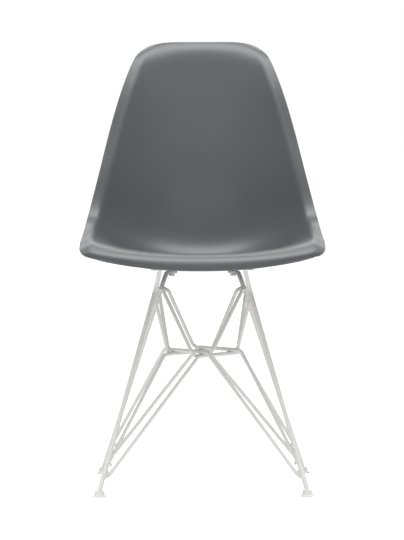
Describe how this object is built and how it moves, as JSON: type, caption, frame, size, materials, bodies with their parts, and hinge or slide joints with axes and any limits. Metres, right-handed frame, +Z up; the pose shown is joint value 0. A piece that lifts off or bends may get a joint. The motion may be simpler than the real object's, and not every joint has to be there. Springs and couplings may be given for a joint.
{
  "type": "shell side chair",
  "caption": "Armless side chair: one moulded plastic bucket shell, rolled at its rims, bolted on a base of bent and welded steel rods with glides",
  "frame": {"origin": "on the floor, under the middle of the chair's overall width and depth", "axes": "+Z up; a sitter faces -Y; +X is to the right in a view from the front, which is the sitter's left"},
  "size_m": [0.4616, 0.5398, 0.8396],
  "materials": {
    "shell_plastic": "fine matt grain, mid grey",
    "coated_steel": "smooth satin powder coat, white",
    "glide_plastic": "satin white moulding",
    "zinc_steel": "bright zinc plate",
    "insert_brass": "turned"
  },
  "bodies": {
    "root": {"front_left_glide": "glide_plastic", "front_left_inner_brace": "coated_steel", "front_left_leg": "coated_steel", "front_left_lock_washer": "zinc_steel", "front_left_mounting_bolt": "zinc_steel", "front_left_mounting_plate": "coated_steel", "front_left_outer_brace": "coated_steel", "front_left_threaded_insert": "insert_brass", "front_right_glide": "glide_plastic", "front_right_inner_brace": "coated_steel", "front_right_leg": "coated_steel", "front_right_lock_washer": "zinc_steel", "front_right_mounting_bolt": "zinc_steel", "front_right_mounting_plate": "coated_steel", "front_right_outer_brace": "coated_steel", "front_right_threaded_insert": "insert_brass", "rear_left_glide": "glide_plastic", "rear_left_inner_brace": "coated_steel", "rear_left_leg": "coated_steel", "rear_left_lock_washer": "zinc_steel", "rear_left_mounting_bolt": "zinc_steel", "rear_left_mounting_plate": "coated_steel", "rear_left_outer_brace": "coated_steel", "rear_left_threaded_insert": "insert_brass", "rear_right_glide": "glide_plastic", "rear_right_inner_brace": "coated_steel", "rear_right_leg": "coated_steel", "rear_right_lock_washer": "zinc_steel", "rear_right_mounting_bolt": "zinc_steel", "rear_right_mounting_plate": "coated_steel", "rear_right_outer_brace": "coated_steel", "rear_right_threaded_insert": "insert_brass", "seat_shell": "shell_plastic"}
  },
  "joints": []
}
